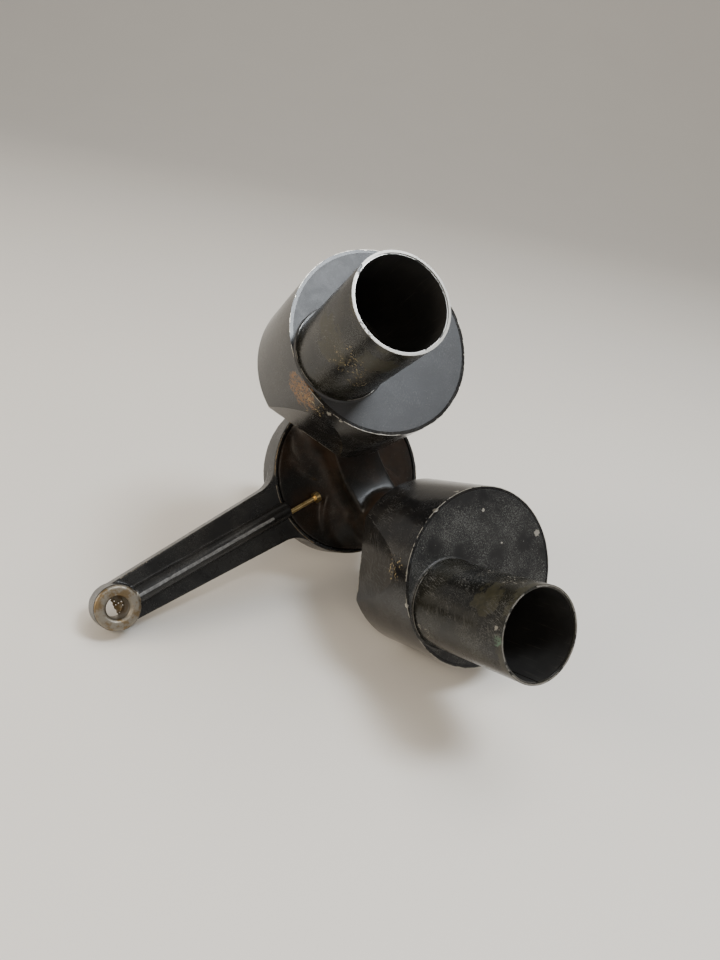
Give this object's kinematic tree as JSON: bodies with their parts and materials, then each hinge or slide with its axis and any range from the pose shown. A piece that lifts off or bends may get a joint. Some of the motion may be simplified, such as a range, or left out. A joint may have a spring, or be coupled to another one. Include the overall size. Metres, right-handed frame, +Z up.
{
  "type": "stereo microscope head",
  "caption": "Converging stereo microscope head: two swivelling prism housings with eyepiece tubes on one casting, clamped in a ring with a drilled carrying arm.",
  "frame": {"origin": "on the table, under the middle of the head's outer box", "axes": "+Z up from the table the head lies on; X and Y are level, and the eyepiece tubes point towards -Y and up"},
  "size_m": [0.134, 0.13, 0.1236],
  "materials": {
    "arm_enamel": "satin black enamel, worn bright on the rib and bare on the boss",
    "casting_enamel": "semi-gloss black enamel",
    "housing_enamel": "gloss black enamel, chipped at the edges",
    "cover_enamel": "fine grained satin black enamel",
    "tube_lacquer": "semi-gloss black lacquer worn to olive and bare metal",
    "sleeve_metal": "blackened matt bore",
    "objective_lacquer": "semi-gloss black lacquer",
    "lens_glass": "clear optical glass",
    "prism_glass": "clear optical glass",
    "pin_brass": "turned, tarnished",
    "washer_fibre": "red vulcanised fibre",
    "screw_steel": "blued steel",
    "spring_brass": "rolled strip",
    "turned_brass": "turned"
  },
  "bodies": {
    "head_body": {"body_casting": "casting_enamel", "carrier_arm": "arm_enamel", "carrier_ring": "arm_enamel", "left_front_lens": "lens_glass", "left_lens_ring": "turned_brass", "left_neck_nut": "turned_brass", "left_neck_washer": "washer_fibre", "left_objective_barrel": "objective_lacquer", "left_rear_lens": "lens_glass", "locating_pin": "pin_brass", "right_front_lens": "lens_glass", "right_lens_ring": "turned_brass", "right_neck_nut": "turned_brass", "right_neck_washer": "washer_fibre", "right_objective_barrel": "objective_lacquer", "right_rear_lens": "lens_glass", "ring_screws": "screw_steel"},
    "right_unit": {"right_clip_screws": "screw_steel", "right_cover": "cover_enamel", "right_cover_screws": "screw_steel", "right_eyepiece_sleeve": "sleeve_metal", "right_eyepiece_tube": "tube_lacquer", "right_lower_prism": "prism_glass", "right_lower_prism_clip": "spring_brass", "right_prism_housing": "housing_enamel", "right_prism_shelf": "turned_brass", "right_shelf_screws": "screw_steel", "right_upper_prism": "prism_glass", "right_upper_prism_clip": "spring_brass"},
    "left_unit": {"left_clip_screws": "screw_steel", "left_cover": "cover_enamel", "left_cover_screws": "screw_steel", "left_eyepiece_sleeve": "sleeve_metal", "left_eyepiece_tube": "tube_lacquer", "left_lower_prism": "prism_glass", "left_lower_prism_clip": "spring_brass", "left_prism_housing": "housing_enamel", "left_prism_shelf": "turned_brass", "left_shelf_screws": "screw_steel", "left_upper_prism": "prism_glass", "left_upper_prism_clip": "spring_brass"}
  },
  "joints": [
    {"name": "right_unit_turn", "type": "hinge", "parent": "head_body", "child": "right_unit", "pos_m": [0.0013, 0.00949, 0.06808], "axis": [0.3638, -0.6831, 0.6333], "range_deg": [-5, 45]},
    {"name": "left_unit_turn", "type": "hinge", "parent": "head_body", "child": "left_unit", "pos_m": [0.02385, 0.00049, 0.0367], "axis": [0.522, -0.7462, 0.4131], "range_deg": [-45, 5]}
  ]
}
